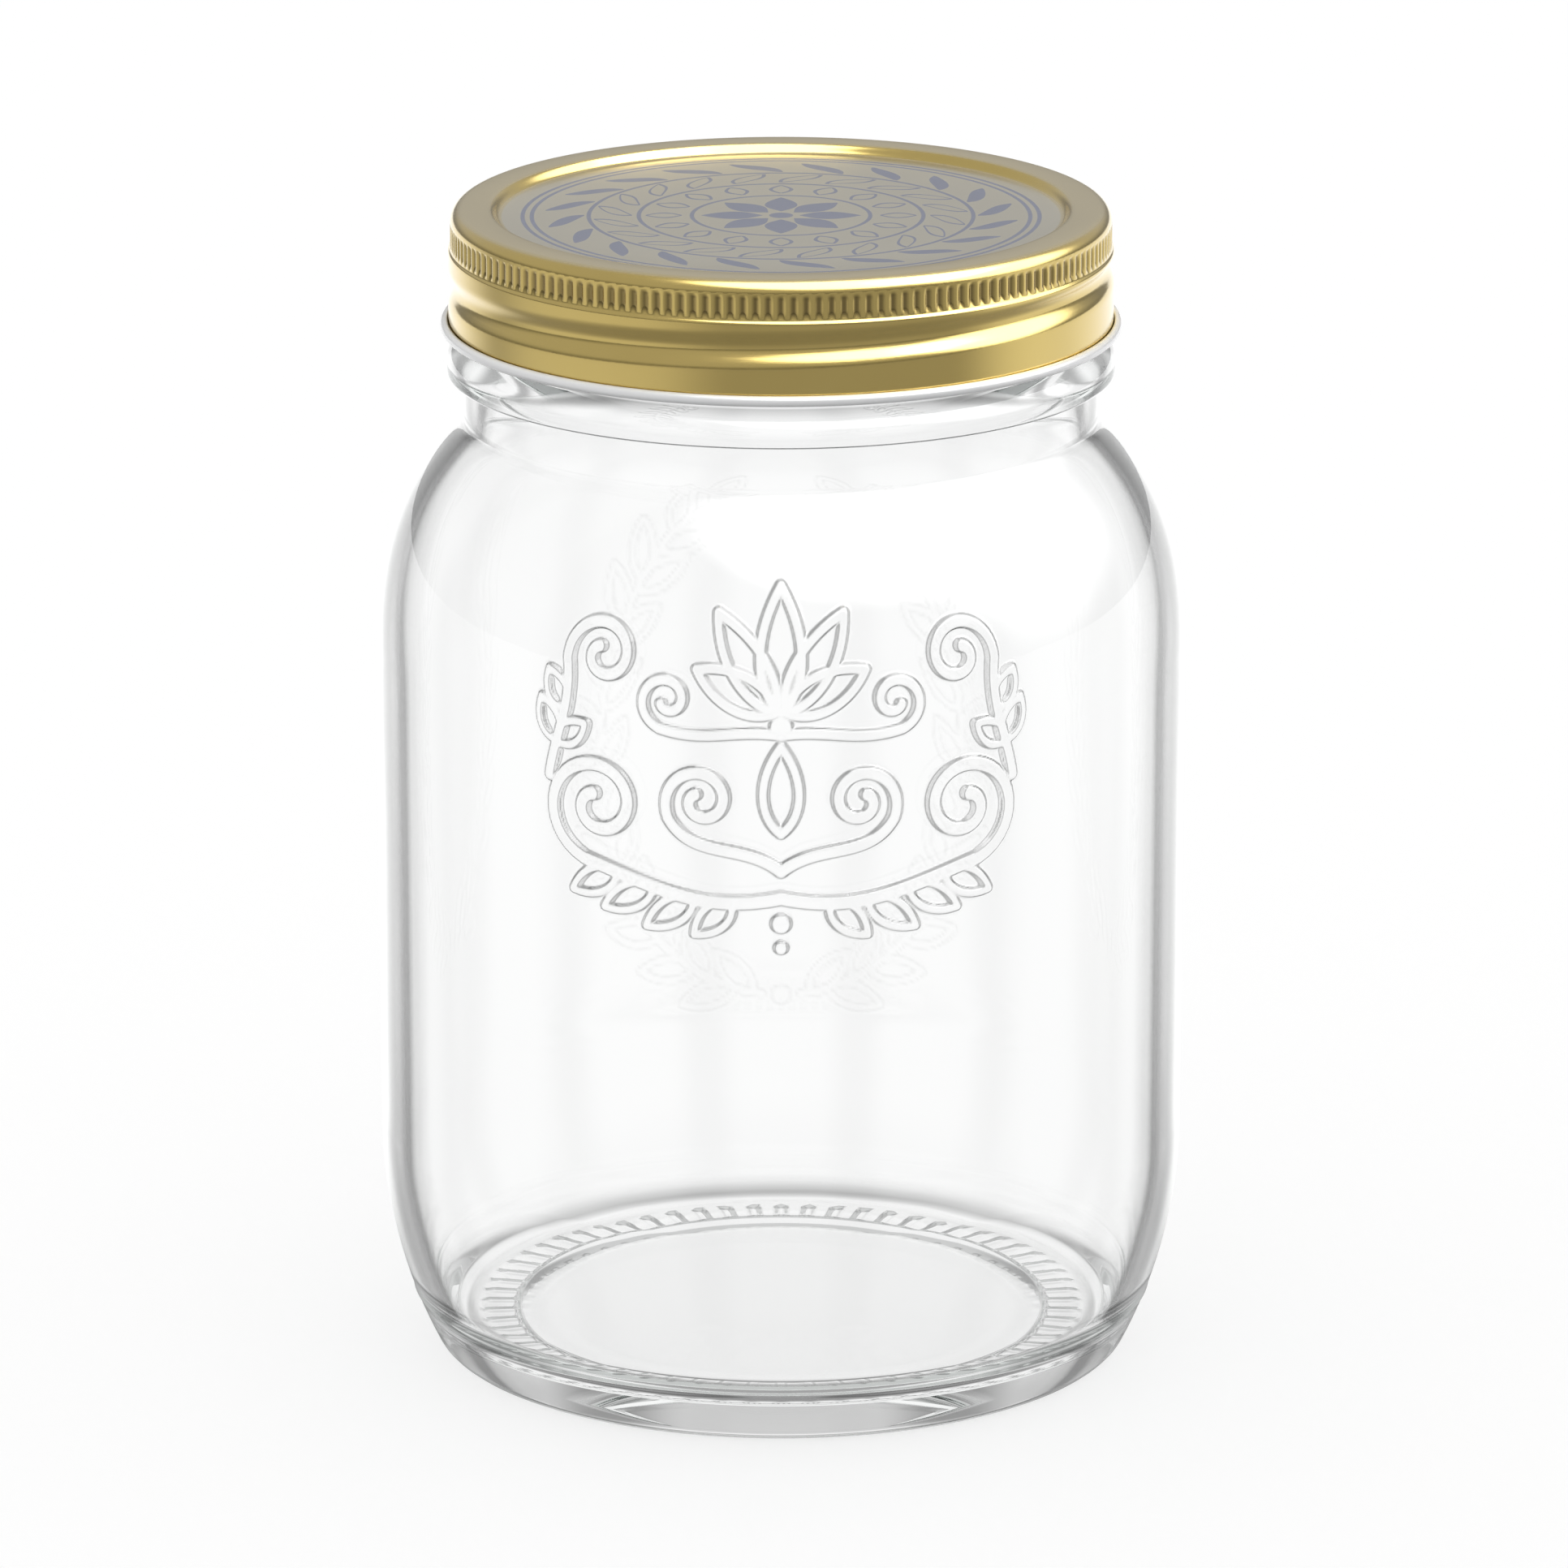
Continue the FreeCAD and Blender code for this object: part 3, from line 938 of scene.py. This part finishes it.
# %% Light that comes from one side
def soft_light(tree, direction, aim, edge, middle, strength):
    """The light of a round softbox or card in a direction. Edge and middle are cosines from its aim."""
    toward = add(tree, "VectorMath", {"operation": "DOT_PRODUCT"}, i0=direction, i1=Vector(aim).normalized())
    return eased(tree, toward.outputs["Value"], edge, middle, 0.0, strength)


print("soft lights are ready")

# %% The floor
half_floor = 8.0
bare_floor = 0.11  # how bright metal sees the floor between the cards
floor_mesh = bmesh.new()
bmesh.ops.create_grid(floor_mesh, x_segments=1, y_segments=1, size=half_floor)
bmesh.ops.translate(floor_mesh, verts=floor_mesh.verts, vec=(0, 0, -0.1 * MM))
floor = new_object("studio_floor", floor_mesh)
white, tree = new_material("white_floor")
light_path = add(tree, "LightPath").outputs
place = add(tree, "TexCoord").outputs["Object"]
away = add(tree, "VectorMath", {"operation": "LENGTH"}, i0=place).outputs["Value"]
outward = add(tree, "VectorMath", {"operation": "NORMALIZE"}, i0=place).outputs["Vector"]
left_card = soft_light(tree, outward, (-0.92, -0.38, 0), 0.62, 0.99, 0.36)
right_card = soft_light(tree, outward, (0.92, 0.38, 0), 0.6, 0.97, 0.62)
floor_cards = calc(tree, "ADD", calc(tree, "ADD", left_card, right_card), bare_floor)
in_metal = calc(tree, "MULTIPLY", eased(tree, away, 0.12, 0.4, 0.08, 1.0), floor_cards)
behind = soft_light(tree, outward, (0, 1, 0), 0.3, 0.85, 1.0)
in_metal = blended(tree, behind, in_metal, 0.95)
level = blended(tree, light_path["Is Camera Ray"], 0.0, 0.66)
level = blended(tree, light_path["Is Glossy Ray"], level, in_metal)
matt = add(tree, "BsdfDiffuse", Color=(0.36, 0.36, 0.36, 1))
glow = add(tree, "Emission", Color=(1, 1, 1, 1), Strength=level)
lit_floor = add(tree, "AddShader", i0=matt.outputs[0], i1=glow.outputs[0])
gone = add(tree, "BsdfTransparent")
through_glass = calc(tree, "GREATER_THAN", light_path["Transmission Depth"], 0.5)
floor_mix = add(tree, "MixShader", i0=through_glass, i1=lit_floor.outputs[0], i2=gone.outputs[0])
add(tree, "OutputMaterial", Surface=floor_mix.outputs[0])
floor.data.materials.append(white)
print("the floor is", 2 * half_floor, "m wide")

# %% The surround
card_count = 8
world = bpy.data.worlds.new("studio")
bpy.context.scene.world = world
world.use_nodes = True
tree = world.node_tree
tree.nodes.clear()
light_path = add(tree, "LightPath").outputs
direction = add(tree, "TexCoord").outputs["Generated"]
way = add(tree, "SeparateXYZ", Vector=direction).outputs
turn = calc(tree, "MULTIPLY", calc(tree, "ARCTAN2", way["Y"], way["X"]), 180 / math.pi)
off_axis = calc(tree, "PINGPONG", turn, 180 / card_count)
cards = eased(tree, off_axis, 11.0, 21.0, 1.0, 0.48)
overhead = eased(tree, way["Z"], 0.05, 0.35, 1.0, 0.62)
underfoot = eased(tree, way["Z"], -0.85, -0.5, 0.3, 1.0)
in_glass = calc(tree, "MULTIPLY", calc(tree, "MULTIPLY", cards, overhead), underfoot)
near_horizon = eased(tree, way["Z"], 0.0, 0.3, 0.22, 0.58)
top_box = soft_light(tree, direction, (0.30, -0.32, 0.90), 0.745, 0.86, 4.2)
side_box = soft_light(tree, direction, (0.80, -0.02, 0.60), 0.76, 0.92, 3.4)
in_metal = calc(tree, "ADD", calc(tree, "ADD", near_horizon, top_box), side_box)
level = blended(tree, light_path["Is Camera Ray"], 0.95, 1.0)
level = blended(tree, light_path["Is Glossy Ray"], level, in_metal)
through_glass = calc(tree, "GREATER_THAN", light_path["Transmission Depth"], 0.5)
level = blended(tree, through_glass, level, in_glass)
sky = add(tree, "Background", Color=(1, 1, 1, 1), Strength=level)
add(tree, "OutputWorld", Surface=sky.outputs[0])
print("the surround has", len(tree.nodes), "nodes")

# %% [markdown]
# ## Camera
#
# A long lens from a little above, straight at the front of the jar.

# %% Camera
camera_tilt = 16.013
camera_data = bpy.data.cameras.new("camera")
camera_data.sensor_width = 36
camera_data.lens = 241.19
camera = bpy.data.objects.new("camera", camera_data)
camera.location = (0.00038, -1.333, 0.4584)
camera.rotation_euler = (math.radians(90 - camera_tilt), 0, 0)
bpy.context.collection.objects.link(camera)
bpy.context.scene.camera = camera
bpy.context.scene.view_settings.view_transform = "Standard"
print("the camera looks down by", round(camera_tilt), "degrees")
